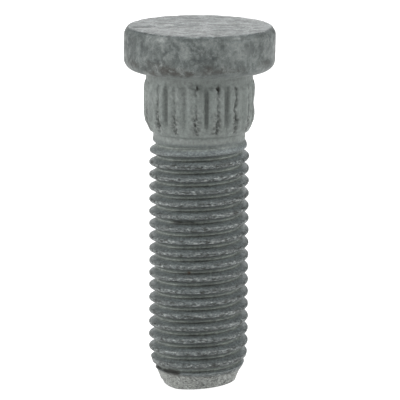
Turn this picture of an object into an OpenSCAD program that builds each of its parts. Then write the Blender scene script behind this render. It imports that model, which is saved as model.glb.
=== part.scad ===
// Wheel stud: a round head, a serrated shoulder that is pressed into a hub, a plain neck,
// a rolled right-hand metric thread and a tapered point with a sheared end.
// The axis is +Z. The stud stands on the flat of its sheared end, which is at z = 0, with the head on top.

/* [Head] */
// Diameter of the head
head_d = 18.2; // [16:0.1:24]
// Thickness of the head
head_h = 5.15; // [3.5:0.05:8]
// Radius of the rounded upper edge of the head
head_top_r = 0.6; // [0.4:0.1:1.6]
// Radius of the rounded lower edge of the head
head_low_r = 1.2; // [0.4:0.1:1.6]

/* [Shank] */
// Length from the seat under the head to the foot
shank_l = 38.4; // [30:0.1:80]
// Diameter of the plain collar under the head
collar_d = 12.76; // [12.2:0.02:13]
// Length of the plain collar, from the seat down
collar_l = 0.95; // [0.6:0.05:2]
// Radius of the fillet between the seat and the collar
seat_fillet_r = 0.35; // [0.3:0.05:0.5]

/* [Serration] */
// Diameter over the serrated lands
land_d = 13.25; // [13.1:0.05:14.5]
// Length of the rounded shoulder that rises from the collar to the lands
shoulder_l = 0.95; // [0.5:0.05:1.5]
// Length of the straight lands that grip the hub
land_l = 3.45; // [2:0.05:12]
// Length of the rounded lead-in below the lands
lead_l = 1.93; // [1:0.01:3]
// Diameter at the lower end of the lead-in
lead_d = 12; // [11.5:0.05:12.8]
// Length of the step from the lead-in to the neck
step_l = 0.24; // [0.1:0.02:0.6]
// Number of grooves around the shoulder
groove_count = 16; // [8:1:24]
// Depth of a groove below the lands
groove_depth = 0.45; // [0.2:0.05:0.6]
// Radius of the round bottom of a groove
groove_r = 0.32; // [0.2:0.02:0.5]
// Length of a groove's run-up above the shoulder's start, towards the head
groove_over = 0.1; // [0:0.05:0.4]
// Direction of the first groove
groove_angle = 7.5; // [0:0.5:45]

/* [Thread] */
// Diameter over the thread's crests
thread_d = 11.9; // [10.8:0.05:12]
// Pitch of the thread
thread_pitch = 1.5; // [1:0.25:1.75]
// Depth of the thread, from crest to root
thread_depth = 0.8; // [0.4:0.05:0.9]
// Width of the flat of a crest
crest_w = 0.34; // [0.1:0.02:0.5]
// Width of the flat of a root
root_w = 0.24; // [0.1:0.02:0.4]
// Length of the plain neck between the serration and the thread
neck_l = 0.6; // [0.2:0.05:10]
// Length in which the crests rise out of the neck to their full diameter
runout_l = 1.8; // [1:0.1:3]
// Direction of the point where the thread's helix is counted from
thread_angle = 173; // [0:1:359]

/* [Point] */
// Height of the plain tapered point
point_h = 2.5; // [2.4:0.05:5]
// Diameter of the point where its taper meets the foot
point_d = 8; // [7.6:0.1:9]
// Height above the point in which the crests rise to their full diameter
fade_h = 2.4; // [1.5:0.1:4]
// Radius of the flat of the foot
foot_r = 3; // [2:0.1:3.4]
// Distance of the foot's centre from the axis
foot_shift = 1.33; // [0:0.01:1.5]
// Rise of the sheared face around the foot's flat, in degrees
shear_angle = 13.7; // [5:0.1:16]
// Radius of the rolled-over edge on the foot's side of the shear
roll_r = 1.1; // [0.4:0.1:1.6]
// Distance of the rolled-over edge's own centre from the axis, away from the foot's centre
roll_shift = 0.45; // [0:0.05:0.8]
// Distance by which the rolled-over edge lies outside the taper, level with the foot
roll_over = 0.36; // [0.2:0.02:0.6]

/* [Hidden] */
coat = [0.54, 0.57, 0.56];
facets = 32;
gap = 0.02;
cut_over = 1;
round_fn = 96;

land_r = land_d / 2;
collar_r = collar_d / 2;
root_r = thread_d / 2 - thread_depth;

// a thread is rolled on a blank halfway between its crests and its roots
neck_r = root_r + thread_depth / 2;
seat_z = shank_l;
collar_z = seat_z - collar_l;
land_top_z = collar_z - shoulder_l;
land_low_z = land_top_z - land_l;
lead_z = land_low_z - lead_l;
step_z = lead_z - step_l;
neck_z = step_z - neck_l;

// a crest's edges are a little lower than its middle, and roots run out of the neck faster than crests
flank_w = (thread_pitch - crest_w - root_w) / 2;
crest_edge = 0.93;
root_runout = 1.6;

// the thread's polyhedron ends inside the neck and inside the point
thread_low_z = point_h - thread_pitch;
thread_end_z = thread_low_z - gap;
turns = ceil((neck_z - thread_low_z) / thread_pitch);
rows_per_turn = 5;
rows = turns * rows_per_turn;
thread_over_z = thread_low_z + (turns + 1) * thread_pitch;

// radius of an arc that leaves a straight wall and falls by a given amount over a given length
function fall_r(fall, length) = (length * length + fall * fall) / (2 * fall);

// profile of one pitch, from the top down: height below its start, and how full the thread is there
function drop(k) =
    [0, root_w, root_w + flank_w, root_w + flank_w + crest_w / 2, root_w + flank_w + crest_w][k];
function fullness(k) = [0, 0, crest_edge, 1, crest_edge][k];

// how far the thread has run out of the neck, and how far the point lets its crests rise
function runout(z) = max(0, min(1, (neck_z - z) / runout_l));
function point_limit(z) =
    z > point_h
        ? root_r + thread_depth * sin(90 * min(1, (z - point_h) / fade_h))
        : point_d / 2 + (root_r - point_d / 2) * z / point_h;

function thread_r(z, full) =
    let (
        formed = root_r + thread_depth * full,
        open = full > 0 ? runout(z) : min(1, root_runout * runout(z)),
        rolled = neck_r + (formed - neck_r) * open
    )
    min(rolled, point_limit(z)) - gap;

// a point of the thread's surface: column c goes around, row i goes down
function row_z(c, i) =
    thread_low_z + thread_pitch * (turns + c / facets - floor(i / rows_per_turn)) - drop(i % rows_per_turn);
function on_column(c, r, z) =
    [r * cos(360 * c / facets), r * sin(360 * c / facets), z];
function column(c) = [
    on_column(c, neck_r - gap, thread_over_z),
    for (i = [0 : rows - 1])
        let (z = row_z(c, i)) on_column(c, thread_r(z, fullness(i % rows_per_turn)), z),
    on_column(c, point_limit(thread_end_z) - gap, thread_end_z)
];

module rounded_square(size, r_low, r_top) {
    difference() {
        square(size);
        corner_cut([size[0], 0], r_low, 0);
        corner_cut(size, r_top, 1);
    }
}

// takes the sharp outer corner off a profile at p, below it (up = 0) or above it (up = 1)
module corner_cut(p, r, up) {
    mirror([0, up])
        translate([p[0] - r, up == 1 ? -p[1] : p[1]])
            difference() {
                translate([0, -cut_over]) square([r + cut_over, r + cut_over]);
                translate([0, r]) circle(r, $fn = round_fn);
            }
}

module head_profile() {
    translate([0, seat_z]) rounded_square([head_d / 2, head_h], head_low_r, head_top_r);
}

module collar_profile() {
    translate([0, collar_z]) square([collar_r, collar_l + head_h / 2]);
    difference() {
        translate([0, seat_z - seat_fillet_r]) square([collar_r + seat_fillet_r, 2 * seat_fillet_r]);
        translate([collar_r + seat_fillet_r, seat_z - seat_fillet_r])
            circle(seat_fillet_r, $fn = round_fn);
    }
}

// the lands' shoulder and lead-in are arcs that leave the straight lands smoothly
module land_profile() {
    shoulder_r = fall_r(land_r - collar_r, shoulder_l);
    lead_r = fall_r(land_r - lead_d / 2, lead_l);
    translate([0, land_low_z]) square([land_r, land_l]);
    intersection() {
        translate([land_r - shoulder_r, land_top_z]) circle(shoulder_r, $fn = round_fn);
        translate([0, land_top_z]) square([land_r, shoulder_l]);
    }
    intersection() {
        translate([land_r - lead_r, land_low_z]) circle(lead_r, $fn = round_fn);
        translate([0, lead_z]) square([land_r, lead_l]);
    }
}

module neck_profile() {
    translate([0, neck_z]) square([neck_r, collar_z - neck_z]);
    polygon([[0, lead_z], [lead_d / 2, lead_z], [neck_r, step_z], [0, step_z]]);
}

module blank() {
    rotate_extrude($fn = round_fn) {
        head_profile();
        collar_profile();
        land_profile();
        neck_profile();
    }
}

module groove() {
    translate([land_r - groove_depth + groove_r, 0, step_z]) {
        cylinder(h = collar_z + groove_over - groove_r - step_z, r = groove_r, $fn = round_fn);
        translate([0, 0, collar_z + groove_over - groove_r - step_z]) sphere(groove_r, $fn = round_fn);
    }
}

module serrated_blank() {
    difference() {
        blank();
        for (k = [0 : groove_count - 1])
            rotate(groove_angle + 360 * k / groove_count) groove();
    }
}

// one closed surface: columns of points down the thread, joined to their neighbours,
// and the last column joined to the first one turn further down
module thread() {
    size = rows + 2;
    points = [for (c = [0 : facets - 1]) each column(c)];
    top = 0;
    low = rows + 1;
    last = (facets - 1) * size;
    walls = [
        for (c = [0 : facets - 2]) for (i = [0 : rows])
            let (a = c * size + i, b = a + size)
            each [[a, b, a + 1], [b, b + 1, a + 1]]
    ];
    seam = [
        for (i = [1 : rows - rows_per_turn - 1])
            let (a = last + i + rows_per_turn, b = i)
            each [[a, b, a + 1], [b, b + 1, a + 1]]
    ];
    seam_top = [
        [last + top, top, last + 1],
        for (i = [1 : rows_per_turn]) [last + i, top, last + i + 1],
        [top, 1, last + rows_per_turn + 1]
    ];
    seam_low = [
        for (i = [rows - rows_per_turn : rows]) [last + rows, i, i + 1],
        [last + rows, low, last + low]
    ];
    caps = [
        [for (c = [facets - 1 : -1 : 0]) c * size + top],
        [for (c = [0 : facets - 1]) c * size + low]
    ];
    rotate(thread_angle)
        polyhedron(points, concat(walls, seam, seam_top, seam_low, caps));
}

// the tapered point, cut off by a shear that leaves a small flat foot and one rolled-over edge
module point() {
    far = 2 * point_d;
    intersection() {
        cylinder(h = point_h, r1 = point_d / 2, r2 = root_r, $fn = round_fn);
        translate([-foot_shift, 0, 0])
            rotate_extrude($fn = round_fn)
                polygon([[0, 0], [foot_r, 0], [foot_r + far, far * tan(shear_angle)], [0, far]]);
        translate([roll_shift, 0, 0])
            rotate_extrude($fn = round_fn)
                rounded_square([point_d / 2 + roll_shift + roll_over, point_h], roll_r, gap);
    }
}

module wheel_stud() {
    color(coat) {
        serrated_blank();
        thread();
        point();
    }
}

wheel_stud();
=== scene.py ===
import math

import bmesh
import bpy
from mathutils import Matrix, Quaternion, Vector, noise


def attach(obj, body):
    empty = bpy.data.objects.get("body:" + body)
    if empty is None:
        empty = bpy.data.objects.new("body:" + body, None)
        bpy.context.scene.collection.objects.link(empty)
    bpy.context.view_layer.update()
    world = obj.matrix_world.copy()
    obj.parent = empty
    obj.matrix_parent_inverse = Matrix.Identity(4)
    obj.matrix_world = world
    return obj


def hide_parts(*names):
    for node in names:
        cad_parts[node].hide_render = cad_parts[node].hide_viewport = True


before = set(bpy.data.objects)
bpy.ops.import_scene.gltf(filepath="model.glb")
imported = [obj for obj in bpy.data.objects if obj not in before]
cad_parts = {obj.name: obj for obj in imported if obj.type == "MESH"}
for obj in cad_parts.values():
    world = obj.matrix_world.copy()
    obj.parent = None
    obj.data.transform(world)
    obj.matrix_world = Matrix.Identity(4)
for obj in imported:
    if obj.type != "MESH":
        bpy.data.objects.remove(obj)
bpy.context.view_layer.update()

scene = bpy.context.scene

# Shapes are worked out in millimetres above the foot and made metres at the end.
# Angles are degrees around the axis from +X; 270 faces the camera.
millimetre = 0.001
front = 270
markNames = ("crest", "hollow", "stain", "rubbed", "rust")   # what the coating reads at each point


def smoothStep(low, high, value):
    part = min(1, max(0, (value - low) / (high - low)))
    return part * part * (3 - 2 * part)


def bell(value, middle, width):
    return math.exp(-((value - middle) / width) ** 2)


def turnFrom(angle, middle):
    return (angle - middle + 180) % 360 - 180


def onCurve(points, value):
    for (x0, y0), (x1, y1) in zip(points, points[1:]):
        if value <= x1:
            break
    return y0 + (y1 - y0) * min(1, max(0, (value - x0) / (x1 - x0)))


def grain(place, scale, seed=0):
    return noise.noise(place * scale + Vector((seed * 17.3, -seed * 5.7, seed * 3.1)))


def ripple(seed, height, scale):
    return noise.noise(Vector((seed * 7.13, seed * 1.9, height * scale)))


def newPart():
    bm = bmesh.new()
    for name in markNames:
        bm.verts.layers.float.new(name)
    return bm


def lineTo(bm, vert, radius, height, rows):
    step = (Vector((radius, 0, height)) - vert.co) / rows
    for _ in range(rows):
        place = vert.co + step
        vert = bmesh.ops.extrude_vert_indiv(bm, verts=[vert])["verts"][0]
        vert.co = place
    return vert


def arcTo(bm, vert, radius, height, degrees, rows):
    made = bmesh.ops.spin(bm, geom=[vert], cent=(radius, 0, height), axis=(0, 1, 0),
                          angle=math.radians(degrees), steps=rows)
    return [item for item in made["geom_last"] if isinstance(item, bmesh.types.BMVert)][0]


def revolve(bm, columns):
    bmesh.ops.spin(bm, geom=bm.verts[:] + bm.edges[:], cent=(0, 0, 0), axis=(0, 0, 1),
                   angle=math.tau, steps=columns, use_merge=True)
    onAxis = [vert for vert in bm.verts if vert.co.xy.length < 0.01]
    bmesh.ops.remove_doubles(bm, verts=onAxis, dist=0.005)


# The thread: one pitch is spun once round, rising as it goes, and stacked turn on turn.
thread = {
    "pitch": 1.5,
    "crestAtZero": 0.97,     # height of a crest at angle 0, plus any number of pitches
    "crest": 5.945,
    "root": 5.02,
    "halfProfile": [(0, 5.945), (0.13, 5.925), (0.25, 5.82), (0.40, 5.52),     # from the crest to the root
                    (0.57, 5.15), (0.67, 5.04), (0.75, 5.02)],
    "columns": 240,
    "turns": 21,             # enough to reach past the cut at every angle
    "neckZ": 30.28,          # where the crests start to rise from the plain neck
    "neckRadius": 5.47,
    "runout": 1.8,
    "cutLow": 2.05,          # where the point and the neck take over
    "cutHigh": 30.3,
    "endCut": 0.05,          # how much deeper the last root is, close to the point
    "wander": 0.015,
    "nickDepth": 0.15,
}

# How far out the crests may reach, by height: the taper, a small lip and the rise to full diameter.
reach = [(0, 4.22), (2.05, 5.005), (2.15, 5.17), (2.46, 5.35),
         (2.76, 5.48), (3.37, 5.67), (3.98, 5.85), (4.9, 5.97)]


def threadRadius(radius, z):
    full = (radius - thread["root"]) / (thread["crest"] - thread["root"])
    rise = min(1, max(0, (thread["neckZ"] - z) / thread["runout"]))
    rise = min(1, rise * (1.6 - 0.6 * min(1, full * 2)))       # roots run out of the neck faster than crests
    radius -= thread["endCut"] * (1 - full) * (1 - smoothStep(2.5, 3.4, z))
    rolled = thread["neckRadius"] + (radius - thread["neckRadius"]) * rise
    return min(rolled, onCurve(reach, z)), full * rise


def makeThread():
    bm = newPart()
    half = thread["halfProfile"]
    last = None
    for lift, radius in [(-lift, radius) for lift, radius in reversed(half[1:])] + half:
        vert = bm.verts.new((radius, 0, thread["crestAtZero"] + lift))
        if last:
            bm.edges.new((last, vert))
        last = vert
    bmesh.ops.spin(bm, geom=bm.verts[:] + bm.edges[:], cent=(0, 0, 0), axis=(0, 0, 1), angle=math.tau,
                   dvec=(0, 0, thread["pitch"] / thread["columns"]), steps=thread["columns"])
    turn = bm.verts[:] + bm.edges[:] + bm.faces[:]
    for count in range(1, thread["turns"]):
        copy = bmesh.ops.duplicate(bm, geom=turn)["geom"]
        bmesh.ops.translate(bm, vec=(0, 0, thread["pitch"] * count),
                            verts=[item for item in copy if isinstance(item, bmesh.types.BMVert)])
    bmesh.ops.remove_doubles(bm, verts=bm.verts, dist=0.01)
    crest = bm.verts.layers.float["crest"]
    for vert in bm.verts:
        radius = vert.co.xy.length
        formed, vert[crest] = threadRadius(radius, vert.co.z)
        vert.co.xy *= formed / radius
    for height, side in ((thread["cutLow"], -1), (thread["cutHigh"], 1)):
        bmesh.ops.bisect_plane(bm, geom=bm.verts[:] + bm.edges[:] + bm.faces[:], dist=0.0001,
                               plane_co=(0, 0, height), plane_no=(0, 0, side), clear_outer=True)
    print("thread spun:", len(bm.faces), "faces")
    return bm


def dressThread(vert, marks, place, radius, angle, z):
    full = vert[marks["crest"]]
    flow = Vector((place.x * 0.6, place.y * 0.6, z * 1.8))     # nicks run along the crest
    nick = max(0, grain(flow, 1.9, 8) - 0.22) * smoothStep(0.7, 0.95, full)
    radius -= thread["nickDepth"] * nick + thread["wander"] * grain(place, 0.6, 9) * full
    vert[marks["hollow"]] = min(0.7, nick * 2.2)
    return radius, z


# The head, the serrated shoulder and the neck: one profile, revolved. The shoulder's rows are
# a distance below the seat, a radius and the steps that lead there.
body = {
    "topZ": 43.55,
    "seatZ": 38.4,
    "radius": 8.97,
    "topRounding": 0.28,
    "topTaper": 0.02,        # the head's side leans in this much below its top rounding
    "taperZ": 42.3,
    "wornRim": 0.34,         # how far the rim is worn back at the head's left and right
    "lowRounding": 1.3,
    "filletRadius": 0.35,
    "collarRadius": 6.32,
    "landRadius": 6.58,
    "shoulder": [(0.95, 6.34, 3), (1.33, 6.46, 3), (1.82, 6.55, 4), (2.18, 6.58, 3), (5.4, 6.58, 26),
                 (6.07, 6.46, 5), (6.43, 6.31, 3), (6.80, 6.12, 3), (7.04, 6.01, 2), (7.25, 5.90, 2),
                 (7.37, 5.68, 2), (7.48, 5.52, 1), (7.60, 5.475, 1), (8.0, 5.47, 2)],
    "columns": 320,          # ten to each half of a groove's share of the shoulder
    "clustering": 0.45,      # how far the columns crowd towards the grooves and the folds
    "grooveCount": 16,
    "grooveAngle": 7.5,
    "grooveRadius": 0.27,
    "grooveDepth": 0.43,
    "grooveTop": 1.17,
    "fingerSide": 0.72,      # of a finger's middle from its groove
    "fingerHalfWidth": 0.46,
    "fingerTop": 1.62,
    "fingerCrown": 0.11,
    "grooveShade": 0.6,      # how dark a full groove is, and the arch above a finger
    "archShade": 0.10,
    "lipHeight": 0.035,      # of the edges of a fold
    "crumbDepth": 0.13,
    "waistAngle": 0,         # the shoulder is a little slimmer on this side
    "waistDepth": 0.13,
    "dentDepth": 0.10,       # of the head's wide and small dents, and of its rough skin
    "smallDentDepth": 0.07,
    "roughDepth": 0.012,
    "rimShift": 0.03,        # how far the head's upper part leans to +X
    "strokeDepth": 0.12,     # of the strokes on the head's top
    "shallow": {-60: 0.35, -15: 0.55, 52.5: 0.35},   # half filled grooves, by degrees right of the front
}
body["neckEnd"] = body["seatZ"] - body["shoulder"][-1][0]

# Ragged folds between the grooves, by degrees right of the front:
# depth near the top, halfway and near the bottom, and how dark they are.
folds = {
    -54: (0.02, 0.07, 0.09, 0.5),
    -28.6: (0.01, 0.05, 0.09, 0.4),
    -2.6: (0.12, 0.05, 0.09, 0.6),
    20: (0.13, 0.06, 0.09, 0.6),
    44: (0.12, 0.16, 0.13, 0.65),
    66.7: (0.20, 0.16, 0.20, 0.85),
}


def makeBody():
    bm = newPart()
    flat = body["radius"] - body["topTaper"] - body["topRounding"]
    under = body["radius"] - body["lowRounding"]
    hollow = body["collarRadius"] + body["filletRadius"]
    tip = bm.verts.new((0, 0, body["topZ"]))
    tip = lineTo(bm, tip, flat, body["topZ"], 18)
    tip = arcTo(bm, tip, flat, body["topZ"] - body["topRounding"], 90, 6)
    tip = lineTo(bm, tip, body["radius"], body["taperZ"], 5)
    tip = lineTo(bm, tip, body["radius"], body["seatZ"] + body["lowRounding"], 9)
    tip = arcTo(bm, tip, under, body["seatZ"] + body["lowRounding"], 90, 7)
    tip = lineTo(bm, tip, hollow, body["seatZ"], 4)
    tip = arcTo(bm, tip, hollow, body["seatZ"] - body["filletRadius"], -90, 4)
    for below, radius, rows in body["shoulder"]:
        tip = lineTo(bm, tip, radius, body["seatZ"] - below, rows)
    revolve(bm, body["columns"])
    print("head and shoulder revolved:", len(bm.faces), "faces")
    return bm


def foldDepth(index, foldAngle, below):
    for degrees, fold in folds.items():
        if abs(turnFrom(foldAngle, front + degrees)) < 4:
            break
    else:
        fold = [0.12 + 0.10 * ripple(index, part * 4.1, 1) for part in range(3)] + [0.7]
    top, halfway, bottom, darkness = fold
    depth = top * bell(below, 1.45, 0.6) + halfway * bell(below, 3.6, 1.4) + bottom * bell(below, 6.1, 1.2)
    return max(0, depth * (1 + 1.3 * ripple(index + 40, below, 2.1))), darkness


def arch(below, aside, strength):
    # the shade above the rounded tops of the fingers
    top = body["fingerTop"] - 0.52 + 0.5 * ((abs(aside) - body["fingerSide"]) / 0.7) ** 2
    return bell(below, top, 0.08) * (0.4 + 0.6 * strength)


def dressShoulder(vert, marks, place, radius, angle, z):
    below = body["seatZ"] - z
    plain = radius
    step = 360 / body["grooveCount"]
    aside = math.radians((angle - body["grooveAngle"] + step / 2) % step - step / 2) * plain
    formed = smoothStep(1.0, 1.5, below) * (1 - smoothStep(6.8, 7.2, below))

    # smooth crowned fingers with rounded tops on both sides of each groove
    distance = math.hypot(abs(aside) - body["fingerSide"], max(0, body["fingerTop"] - below))
    crown = max(0, 1 - (distance / body["fingerHalfWidth"]) ** 2)
    fingered = smoothStep(1.0, 1.3, below) * (1 - smoothStep(6.2, 7.0, below))
    radius -= body["fingerCrown"] * fingered * (1 - crown)

    # the groove itself, with a round top
    strength = 1
    for degrees, share in body["shallow"].items():
        if abs(turnFrom(angle, front + degrees)) < 6:
            strength = share
    centre = body["landRadius"] - body["grooveDepth"] + body["grooveRadius"]
    room = body["grooveRadius"] ** 2 - max(0, body["grooveTop"] - below) ** 2 - aside ** 2
    hollow = 0
    if room > 0 and centre - math.sqrt(room) < radius:
        deep = (radius - centre + math.sqrt(room)) * strength
        hollow = body["grooveShade"] * min(1, deep / 0.36) ** 3
        radius -= deep

    # the ragged fold where the rolled metal met, and crumbs at its lower end
    index = math.floor((angle - body["grooveAngle"]) / step) % body["grooveCount"]
    foldAngle = body["grooveAngle"] + step * (index + 0.5)
    across = math.radians(turnFrom(angle, foldAngle)) * plain
    middle = 0.22 * ripple(index, below, 0.9) + 0.26 * ripple(index + 20, below, 2.3)
    width = max(0.07, 0.13 + 0.13 * ripple(index + 60, below, 2.3))
    depth, darkness = foldDepth(index, foldAngle, below)
    fold = depth * bell(across, middle, width) * formed
    lip = body["lipHeight"] * bell(abs(across - middle), width * 2.0, 0.10) * formed
    near = bell(across, 0, 0.42) * smoothStep(3.4, 5.6, below) * (1 - smoothStep(6.7, 7.1, below))
    crumbs = near * max(0, abs(grain(place, 2.6, 4)) * 2.8 - 0.25) * body["crumbDepth"]
    radius += lip - fold - crumbs
    folded = darkness * min(0.9, (fold / 0.15) ** 1.3)
    arched = body["archShade"] * arch(below, aside, strength)
    vert[marks["hollow"]] = max(hollow, folded, min(0.6, crumbs / 0.09), arched)
    specks = max(0, grain(place, 2.8, 12)) * near
    specks += max(0, ripple(index + 80, below, 3)) * lip / body["lipHeight"]
    vert[marks["rubbed"]] = min(1, 1.7 * specks)
    radius -= body["waistDepth"] * bell(turnFrom(angle, body["waistAngle"]), 0, 26) * bell(below, 4.05, 0.75)
    return radius, z


def dressHead(vert, marks, place, radius, angle, z):
    outer = smoothStep(7.6, 8.7, radius) * smoothStep(38.5, 39.4, z)
    dent = body["dentDepth"] * max(0, grain(place, 0.5, 1) - 0.15)
    dent += body["smallDentDepth"] * max(0, grain(place, 1.2, 2) - 0.12)
    rough = body["roughDepth"] * abs(grain(place, 2.6, 5))
    worn = 0.25 + 0.75 * math.cos(math.radians(angle)) ** 2
    worn *= body["wornRim"] * smoothStep(42.3, 43.5, z) ** 3 * smoothStep(7.9, 8.8, radius)
    radius -= (dent + rough) * outer + worn
    radius += body["rimShift"] * outer * smoothStep(41.0, 42.2, z) * math.cos(math.radians(angle))
    if z > 43:
        flow = Vector((place.x * 0.7, place.y * 1.2, 0))
        stroke = body["strokeDepth"] * max(0, grain(flow, 0.9, 6) - 0.12)
        z -= (0.35 * dent + stroke + 0.8 * rough) * smoothStep(43.0, 43.5, z)
        vert[marks["hollow"]] = min(0.4, stroke * 6)
    # a dark line under the rim: painted shade on the rim's rounding, carried in the stain mark
    vert[marks["stain"]] = 0.7 * bell(z, 43.2, 0.16) * smoothStep(8.6, 8.9, radius)
    return radius, z


# The point: revolved, then shaped to the shear that cut the stud off and to its rolled-over edge.
point = {
    "radius": 4.22,          # of the taper where it would meet the foot
    "slope": 0.385,
    "join": 1.95,
    "footRadius": 3.0,
    "footShift": 1.33,
    "shearAngle": 14.3,
    "rollRadius": 0.85,
    "rollShift": 0.45,
    "rollReach": 4.81,
    "chipDepth": 0.05,
    "rubbed": 0.6,           # it has little coating left
}


def footHeight(radius, angle):
    x, y = radius * math.cos(angle), radius * math.sin(angle)
    away = math.hypot(x + point["footShift"], y) - point["footRadius"]
    sheared = max(0, away) * math.tan(math.radians(point["shearAngle"]))
    over = math.hypot(x - point["rollShift"], y) - (point["rollReach"] - point["rollRadius"])
    over = min(max(0, over), point["rollRadius"])
    rolled = point["rollRadius"] - math.sqrt(point["rollRadius"] ** 2 - over ** 2)
    return max(sheared, rolled)


def footEdge(angle):
    inner, outer = 3.0, thread["root"]
    for _ in range(24):
        middle = (inner + outer) / 2
        if footHeight(middle, angle) > (middle - point["radius"]) / point["slope"]:
            inner = middle
        else:
            outer = middle
    return inner


def makePoint():
    bm = newPart()
    tip = bm.verts.new((point["radius"] + point["slope"] * point["join"], 0, point["join"]))
    tip = lineTo(bm, tip, point["radius"], 0, 8)
    tip = lineTo(bm, tip, 2.6, 0, 10)
    tip = lineTo(bm, tip, 0, 0, 5)
    revolve(bm, thread["columns"])
    for vert in bm.verts:
        radius, angle = vert.co.xy.length, math.atan2(vert.co.y, vert.co.x)
        edge = footEdge(angle)
        if vert.co.z > 0.001 or radius > point["radius"] - 0.001:
            low = footHeight(edge, angle)
            z = low + (point["join"] - low) * vert.co.z / point["join"]
            radius = point["radius"] + point["slope"] * z
        else:
            radius *= edge / point["radius"]
            z = footHeight(radius, angle)
        vert.co = Vector((radius * math.cos(angle), radius * math.sin(angle), z))
    print("point shaped:", len(bm.faces), "faces")
    return bm


def dressPoint(vert, marks, place, radius, angle, z):
    chip = max(0, grain(place, 1.0, 10) - 0.1) + 0.5 * max(0, grain(place, 2.6, 11) - 0.1)
    if z > 0.02:
        radius -= point["chipDepth"] * (chip - 0.1) * (1 - smoothStep(1.8, 1.95, z))
    vert[marks["hollow"]] = min(0.5, chip * 0.6)
    vert[marks["rubbed"]] = point["rubbed"]
    return radius, z


def ringAt(bm, height):
    return [edge for edge in bm.edges if edge.is_boundary and all(
        abs(vert.co.z - height) < 0.005 for vert in edge.verts)]


def joinParts(parts):
    bm = newPart()
    for part in parts:
        carried = bpy.data.meshes.new("carried")
        part.to_mesh(carried)
        part.free()
        bm.from_mesh(carried)
        bpy.data.meshes.remove(carried)
    for upper, lower in ((body["neckEnd"], thread["cutHigh"]), (thread["cutLow"], point["join"])):
        bmesh.ops.bridge_loops(bm, edges=ringAt(bm, upper) + ringAt(bm, lower))
    print("joined, open edges left:", sum(1 for edge in bm.edges if not edge.is_manifold))
    return bm


# Spots of each mark: degrees right of the front, height, half width, half height and strength.
spots = {
    "stain": [
        (-30, 40.2, 0.8, 0.5, 2.2), (-26, 39.6, 1.4, 0.4, 1.8), (-15, 39.4, 1.6, 0.3, 1.3),
        (7, 39.9, 0.5, 0.45, 0.9), (18, 39.7, 0.7, 0.4, 0.6), (31, 39.4, 0.9, 0.4, 0.5),
        (-18, 42.6, 0.4, 0.4, 0.6), (-7, 42.1, 0.7, 0.5, 0.5), (3, 41.8, 0.8, 0.6, 0.6),
        (-27, 41.5, 0.45, 0.4, 1.4), (-4, 42.4, 0.3, 0.35, 0.6), (-49, 42.2, 0.5, 0.5, 0.6),
        (-65, 40.8, 0.8, 1.1, 0.8), (-70, 41.9, 0.6, 0.8, 0.7), (-41, 41.4, 0.5, 0.5, 0.5),
        (52, 41.9, 0.5, 0.6, 0.7), (16, 42.4, 0.4, 0.3, 0.5), (-2, 40.9, 0.5, 0.4, 0.7),
        (10, 41.1, 0.5, 0.7, 0.7), (-42, 40.4, 0.8, 0.5, 0.7), (60, 39.9, 1.2, 0.5, 0.5),
        (-38, 38.9, 1.4, 0.35, 1.1), (-12, 39.0, 1.3, 0.3, 0.9), (0, 41.6, 0.9, 1.3, 0.45),
        (8, 39.4, 1.0, 0.3, 1.0), (22, 39.5, 0.7, 0.25, 0.8), (-58, 39.6, 1.0, 0.4, 0.7),
    ],
    "rubbed": [
        (33, 41.4, 1.4, 0.8, 0.35), (-25, 40.9, 0.5, 0.4, 0.4), (-30, 43.0, 1.2, 0.5, 0.3),
        (-24, 30.6, 2.2, 0.35, 0.5), (20, 30.5, 1.6, 0.3, 0.4),
        (-14, 36.4, 1.0, 1.5, 0.3), (-70, 35.5, 1.3, 2.0, 0.4),
    ],
    "hollow": [              # dark deposits in the roots, and painted shade in pits at two fingers' tops and in a gap above the point
        (-33, 20.78, 0.6, 0.22, 0.7), (-21, 20.82, 0.9, 0.18, 0.6), (-9, 20.88, 0.6, 0.2, 0.75),
        (-2.4, 37.1, 0.14, 0.3, 1.6), (20.4, 37.05, 0.16, 0.33, 1.6), (-13, 14.77, 0.2, 0.2, 0.6),
        (-70, 2.42, 1.0, 0.15, 2.0), (-44, 2.40, 0.9, 0.28, 2.0), (-31, 2.40, 0.6, 0.24, 2.0),
    ],
    "rust": [(-13, 14.77, 0.16, 0.16, 1.0)],
}
spotReach = 2.5              # how many half sizes from its middle a spot ends


def laySpots(vert, marks, place, radius, angle, z):
    for name, group in spots.items():
        for degrees, height, wide, high, strength in group:
            if abs(z - height) >= spotReach * high:
                continue
            across = math.radians(turnFrom(angle, front + degrees)) * radius
            if abs(across) < spotReach * wide:
                ragged = 1 + 0.9 * grain(place, 2.0, 13)
                laid = strength * ragged * bell(across, 0, wide) * bell(z, height, high)
                vert[marks[name]] = min(1, vert[marks[name]] + max(0, laid))


def dressStud(bm):
    marks = {name: bm.verts.layers.float[name] for name in markNames}
    half = math.radians(180 / body["grooveCount"])
    for vert in bm.verts:
        place, radius, z = vert.co.copy(), vert.co.xy.length, vert.co.z
        if radius < 0.001:
            continue
        angle = math.degrees(math.atan2(place.y, place.x)) % 360
        if z > body["neckEnd"] - 0.05:
            turn = math.radians(angle - body["grooveAngle"])
            crowd = body["clustering"] * smoothStep(body["neckEnd"], body["neckEnd"] + 1, z)
            turn -= crowd * math.sin(turn * math.tau / half) * half / math.tau
            angle = math.degrees(turn) + body["grooveAngle"]
            if z > body["seatZ"]:
                radius, z = dressHead(vert, marks, place, radius, angle, z)
            elif 0.9 < body["seatZ"] - z < 7.6:
                radius, z = dressShoulder(vert, marks, place, radius, angle, z)
            else:
                # the collar just under the head is painted paler: painted light that lifts the shade under
                # the head's overhang
                vert[marks["rubbed"]] = 0.2 * smoothStep(37, 37.5, z)
        elif z > thread["cutLow"] - 0.05:
            radius, z = dressThread(vert, marks, place, radius, angle, z)
        else:
            radius, z = dressPoint(vert, marks, place, radius, angle, z)
        laySpots(vert, marks, place, radius, angle, z)
        turn = math.radians(angle)
        vert.co = Vector((radius * math.cos(turn), radius * math.sin(turn), z))
    print("stud dressed")


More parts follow.
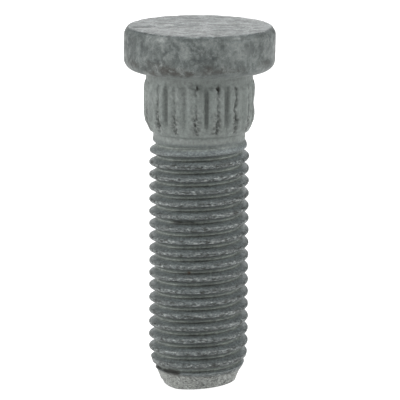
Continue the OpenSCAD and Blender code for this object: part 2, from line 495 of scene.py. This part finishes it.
bm = joinParts([makeThread(), makeBody(), makePoint()])
dressStud(bm)
bmesh.ops.recalc_face_normals(bm, faces=bm.faces)
bmesh.ops.scale(bm, vec=(millimetre,) * 3, verts=bm.verts)
mesh = bpy.data.meshes.new("studBody")
bm.to_mesh(mesh)
bm.free()
mesh.shade_smooth()
mesh.set_sharp_from_angle(angle=math.radians(50))
stud = bpy.data.objects.new("studBody", mesh)
scene.collection.objects.link(stud)
mesh.calc_loop_triangles()
print("stud made:", len(mesh.loop_triangles), "triangles")


# The coating: a grey-green zinc finish, mottled, darkened in its hollows by stains and painted shade, rubbed
# on its crests, with painted light on some parts.
coating = {
    "cool": (0.094, 0.108, 0.108, 1),
    "flank": (0.140, 0.161, 0.162, 1),
    "head": (0.130, 0.147, 0.142, 1),
    "root": (0.205, 0.230, 0.208, 1),
    "shoulder": (0.155, 0.174, 0.164, 1),
    "point": (0.205, 0.213, 0.193, 1),
    "dark": (0.018, 0.019, 0.016, 1),
    "stain": (0.046, 0.045, 0.040, 1),
    "blotch": (0.044, 0.052, 0.051, 1),
    "rubbed": (0.270, 0.285, 0.275, 1),
    "rust": (0.070, 0.032, 0.014, 1),
    "metallic": 0.3,
    "flankShadeLine": 0.405,      # of a painted shade line in the corner between the root and the upper flank, in pitches above the crest
    "flankWidth": 0.085,
    "flankStrength": 0.85,
    "cornerShadeLine": -0.21,     # and of a painted shade line along the lower edge of the crest, on the downward-facing lower flank
    "cornerWidth": 0.12,
    "cornerStrength": 0.95,
    "mottleRelief": 0.06,    # in millimetres, as the heights below
    "fineRelief": 0.03,
    "zones": {               # heights between which the paint of a zone sets in
        # the shoulder's paler paint reaches up over the head's lower rounding: painted light from the floor
        # there
        "headFoot": (38.4, 39.3),
        "headRim": (43.4, 43.2),
        "shoulderFoot": (29.9, 30.4),
        "shoulderTop": (39.3, 38.4),
        "threadTop": (30.1, 29.5),
        "threadFoot": (2.1, 2.3),
        "point": (2.2, 2.0),
        "top": (43.3, 43.5),
        "coolStain": (39.8, 40.6),
    },
    "noises": {              # scale per metre, detail, roughness, distortion
        "clouds": (240, 5, 0.6, 0),
        "mottle": (950, 6, 0.72, 0.3),
        "fine": (2600, 4, 0.65, 0),
        "specks": (3800, 3, 0.6, 0),
        "dashes": (2100, 3, 0.55, 0),
        "strokes": (850, 4, 0.65, 1.2),
    },
}


def addNode(tree, kind, inputs=None, **settings):
    made = tree.nodes.new("ShaderNode" + kind)
    for name, value in settings.items():
        setattr(made, name, value)
    for name, value in (inputs or {}).items():
        if isinstance(value, bpy.types.NodeSocket):
            tree.links.new(value, made.inputs[name])
        else:
            made.inputs[name].default_value = value
    return made


def noiseOf(tree, place, name):
    scale, detail, roughness, distortion = coating["noises"][name]
    return addNode(tree, "TexNoise", {"Vector": place, "Scale": scale, "Detail": detail,
                                      "Roughness": roughness, "Distortion": distortion}).outputs[0]


def spread(tree, value, low, high, toLow=0, toHigh=1):
    return addNode(tree, "MapRange", {"Value": value, "From Min": low, "From Max": high,
                                      "To Min": toLow, "To Max": toHigh}).outputs[0]


def fade(tree, metres, low, high, toLow=0, toHigh=1):
    # a spread whose ends are given in millimetres
    return spread(tree, metres, low * millimetre, high * millimetre, toLow, toHigh)


def combine(tree, kind, *values):
    return addNode(tree, "Math", dict(enumerate(values)), operation=kind).outputs[0]


def product(tree, first, *others):
    for other in others:
        first = combine(tree, "MULTIPLY", first, other)
    return first


def mixed(tree, part, one, other, kind="MIX"):
    return addNode(tree, "Mix", {0: part, 6: one, 7: other}, data_type="RGBA", blend_type=kind).outputs[2]


def paint(tree, colour, name, *parts):
    return mixed(tree, product(tree, *parts), colour, coating[name])


def pitchPlace(tree, x, y, height):
    # from -0.5 to 0.5 over one pitch of the thread, 0 along its crest
    lead = combine(tree, "DIVIDE", combine(tree, "ARCTAN2", y, x), math.tau)
    above = combine(tree, "SUBTRACT", height, thread["crestAtZero"] * millimetre)
    climbed = combine(tree, "DIVIDE", above, thread["pitch"] * millimetre)
    return combine(tree, "WRAP", combine(tree, "SUBTRACT", climbed, lead), 0.5, -0.5)


def lineAlong(tree, pitched, middle, width):
    away = combine(tree, "ABSOLUTE", combine(tree, "SUBTRACT", pitched, middle))
    return spread(tree, away, width, 0)


def coatedSteel():
    material = bpy.data.materials.new("coatedSteel")
    material.use_nodes = True
    tree = material.node_tree
    tree.nodes.clear()
    place = addNode(tree, "TexCoord").outputs["Object"]
    x, y, height = addNode(tree, "SeparateXYZ", {0: place}).outputs
    along = addNode(tree, "Mapping", {"Vector": place, "Scale": (1, 1, 2.2)}).outputs[0]
    across = addNode(tree, "Mapping", {"Vector": place, "Scale": (0.5, 1, 1)}).outputs[0]
    mark = {name: addNode(tree, "Attribute", attribute_name=name).outputs["Fac"] for name in markNames}
    zone = {name: fade(tree, height, *ends) for name, ends in coating["zones"].items()}
    onHead = product(tree, zone["headFoot"], zone["headRim"])
    onShoulder = product(tree, zone["shoulderFoot"], zone["shoulderTop"])
    onThread = product(tree, zone["threadTop"], zone["threadFoot"])

    clouds = noiseOf(tree, place, "clouds")
    mottle = noiseOf(tree, place, "mottle")
    fine = noiseOf(tree, place, "fine")
    specks = noiseOf(tree, along, "specks")
    dashes = noiseOf(tree, along, "dashes")
    strokes = noiseOf(tree, across, "strokes")

    # the roots lean to a pale green, the shoulder and the neck too, crests and head to a cooler grey; the
    # roots' paler tone is partly painted light, the light they catch from the front
    flanks = product(tree, onThread, spread(tree, mark["crest"], 0.9, 0.5))
    colour = mixed(tree, flanks, coating["cool"], coating["flank"])
    patchy = spread(tree, mottle, 0.62, 0.42, 0.45, 1)
    colour = paint(tree, colour, "root", onThread, spread(tree, mark["crest"], 0.35, 0.08), patchy)
    colour = paint(tree, colour, "shoulder", onShoulder)
    colour = paint(tree, colour, "head", onHead)
    colour = paint(tree, colour, "point", zone["point"])
    colour = paint(tree, colour, "stain", spread(tree, clouds, 0.40, 0.60, 0, 0.16))

    # thin dark lines along both sides of the roots, painted shade: one in the corner between the root and the
    # upper flank, one on the downward-facing lower flank under each crest; weaker towards the sides of the
    # stud
    pitched = pitchPlace(tree, x, y, height)
    flankShadeLine = lineAlong(tree, pitched, coating["flankShadeLine"], coating["flankWidth"])
    flankShadeLine = product(tree, flankShadeLine, coating["flankStrength"], fade(tree, x, -5, -2, 0.1, 1))
    cornerShadeLine = lineAlong(tree, pitched, coating["cornerShadeLine"], coating["cornerWidth"])
    cornerShadeLine = product(tree, cornerShadeLine, coating["cornerStrength"])
    rootShadeLines = product(tree, combine(tree, "MAXIMUM", flankShadeLine, cornerShadeLine), fade(tree, x, 1.5, 4.5, 1, 0.5))
    colour = paint(tree, colour, "dark", rootShadeLines, onThread, spread(tree, mottle, 0.35, 0.6, 0.6, 1))

    # the thread is painted paler towards -X, the left seen from the front: a painted highlight of the side
    # light there
    colour = paint(tree, colour, "rubbed", onThread, fade(tree, x, -2.5, -5.5, 0, 0.14))

    # darker blotches on the head's side, and the stains, with the painted shade under the rim that rides on
    # the stain mark
    colour = paint(tree, colour, "rubbed", onHead, spread(tree, clouds, 0.50, 0.36, 0, 0.1))
    colour = paint(tree, colour, "blotch", spread(tree, mottle, 0.49, 0.57), onHead, 0.62)
    colour = paint(tree, colour, "blotch", spread(tree, fine, 0.54, 0.60), onHead, 0.5)
    stain = mixed(tree, zone["coolStain"], coating["stain"], coating["blotch"])
    stainsAndRimShade = product(tree, mark["stain"], spread(tree, mottle, 0.36, 0.54, 0.2, 1))
    colour = mixed(tree, stainsAndRimShade, colour, stain)
    colour = paint(tree, colour, "rubbed", onHead, spread(tree, mottle, 0.46, 0.34, 0, 0.4))

    # fine dark strokes over the head's top
    colour = paint(tree, colour, "blotch", zone["top"], spread(tree, strokes, 0.54, 0.63, 0, 0.85))
    colour = paint(tree, colour, "blotch", zone["top"], spread(tree, mottle, 0.50, 0.62, 0, 0.7))
    colour = paint(tree, colour, "rubbed", zone["top"], spread(tree, strokes, 0.46, 0.36, 0, 0.5))

    # dark and light specks along the crests, pits and scratches on the point
    onCrest = product(tree, onThread, spread(tree, mark["crest"], 0.75, 0.98))
    colour = paint(tree, colour, "rubbed", onCrest, spread(tree, dashes, 0.55, 0.63, 0, 0.65))
    colour = paint(tree, colour, "dark", onCrest, spread(tree, dashes, 0.46, 0.39, 0, 0.9))
    pitted = product(tree, spread(tree, fine, 0.49, 0.56, 0, 0.95), fade(tree, x, -3, 1, 0.4, 1))
    colour = paint(tree, colour, "dark", zone["point"], pitted)
    colour = paint(tree, colour, "stain", zone["point"], spread(tree, strokes, 0.53, 0.58, 0, 0.5))
    colour = paint(tree, colour, "rubbed", zone["point"], spread(tree, mottle, 0.50, 0.38, 0, 0.6))

    colour = paint(tree, colour, "rubbed", mark["rubbed"], 0.6)
    # the hollow mark: painted shade in the grooves, above the fingers' tops, in pits and in a gap, and the
    # darkness of folds, nicks, crumbs, strokes, chips and deposits
    colour = paint(tree, colour, "dark", mark["hollow"])
    colour = paint(tree, colour, "rust", mark["rust"])

    # a fine grain over everything, coarser on the thread, the point and the head's top
    gritty = product(tree, onThread, spread(tree, mark["crest"], 0.2, 1, 0.4, 0.85))
    gritty = combine(tree, "ADD", gritty, zone["point"])
    gritty = combine(tree, "ADD", gritty, product(tree, zone["top"], 0.9))
    grit = product(tree, gritty, spread(tree, specks, 0.3, 0.7, -0.8, 0.8))
    shade = product(tree, spread(tree, fine, 0.3, 0.7, 0.72, 1.28), combine(tree, "ADD", grit, 1))
    shades = addNode(tree, "CombineXYZ", {0: shade, 1: shade, 2: shade}).outputs[0]
    colour = mixed(tree, 1, colour, shades, "MULTIPLY")

    relief = addNode(tree, "Bump", {"Height": mottle, "Strength": 0.35,
                                    "Distance": coating["mottleRelief"] * millimetre}).outputs[0]
    relief = addNode(tree, "Bump", {"Height": fine, "Strength": 0.35, "Normal": relief,
                                    "Distance": coating["fineRelief"] * millimetre}).outputs[0]
    roughness = spread(tree, mottle, 0.3, 0.7, 0.44, 0.64)
    shader = addNode(tree, "BsdfPrincipled", {"Base Color": colour, "Metallic": coating["metallic"],
                                              "Normal": relief, "Roughness": roughness})
    out = addNode(tree, "OutputMaterial")
    tree.links.new(shader.outputs[0], out.inputs["Surface"])
    return material


mesh.materials.append(coatedSteel())
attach(stud, "root")
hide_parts("wheel_stud")
print("coating made")


studio = {
    "floorSize": 12.0,
    "floorDrop": 0.00002,    # how far the floor lies below the stud's foot
    "floorColour": (0.20, 0.20, 0.20, 1),
    "floorRoughness": 0.9,
    "floorGlow": 1.03,       # the floor is lit from below, so the stud throws no shadow on it
    "surround": 0.22,
    "lights": [              # name, place in metres, size, watts
        ("overhead", (0.0, -0.15, 0.90), 0.8, 6.0),
        ("behind", (0.0, 0.85, 0.45), 0.8, 3.6),
        ("leftSide", (-0.78, -0.24, 0.42), 0.6, 6.2),
        ("rightSide", (0.78, -0.30, 0.50), 0.6, 6.0),
    ],
    "target": (0.000125, 0, 0.02255),
    "distance": 0.39,        # the photo was taken close by: its threads are seen from higher up than its head
    "elevation": 11.7,
    "roll": 0.25,
    "viewWidth": 0.04768,    # of the photo's frame at the stud
}


def makeFloor():
    bm = bmesh.new()
    bmesh.ops.create_grid(bm, x_segments=2, y_segments=2, size=studio["floorSize"] / 2)
    bmesh.ops.translate(bm, vec=(0, 0, -studio["floorDrop"]), verts=bm.verts)
    floorMesh = bpy.data.meshes.new("paleFloor")
    bm.to_mesh(floorMesh)
    bm.free()
    floor = bpy.data.objects.new("paleFloor", floorMesh)
    scene.collection.objects.link(floor)
    paper = bpy.data.materials.new("palePaper")
    paper.use_nodes = True
    surface = paper.node_tree.nodes["Principled BSDF"].inputs
    surface["Base Color"].default_value = studio["floorColour"]
    surface["Roughness"].default_value = studio["floorRoughness"]
    surface["Emission Color"].default_value = (1, 1, 1, 1)
    surface["Emission Strength"].default_value = studio["floorGlow"]
    floorMesh.materials.append(paper)


def makeLights():
    world = bpy.data.worlds.new("paleSurround")
    world.use_nodes = True
    world.node_tree.nodes["Background"].inputs["Color"].default_value = (1, 1, 1, 1)
    world.node_tree.nodes["Background"].inputs["Strength"].default_value = studio["surround"]
    scene.world = world
    for name, place, size, watts in studio["lights"]:
        lamp = bpy.data.lights.new(name, "AREA")
        lamp.shape = "DISK"
        lamp.size = size
        lamp.energy = watts
        light = bpy.data.objects.new(name, lamp)
        light.location = place
        light.rotation_mode = "QUATERNION"
        light.rotation_quaternion = (Vector(studio["target"]) - Vector(place)).to_track_quat("-Z", "Y")
        scene.collection.objects.link(light)


def makeCamera():
    lens = bpy.data.cameras.new("photoCamera")
    lens.sensor_width = 36
    lens.lens = lens.sensor_width * studio["distance"] / studio["viewWidth"]
    lens.clip_start = 0.1
    camera = bpy.data.objects.new("photoCamera", lens)
    tilt = math.radians(studio["elevation"])
    back = Vector((0, -math.cos(tilt), math.sin(tilt)))
    camera.location = Vector(studio["target"]) + back * studio["distance"]
    camera.rotation_mode = "QUATERNION"
    lean = Quaternion((0, 0, 1), math.radians(studio["roll"]))
    camera.rotation_quaternion = (-back).to_track_quat("-Z", "Y") @ lean
    scene.collection.objects.link(camera)
    scene.camera = camera
    scene.view_settings.view_transform = "Standard"


makeFloor()
makeLights()
makeCamera()
print("studio set")
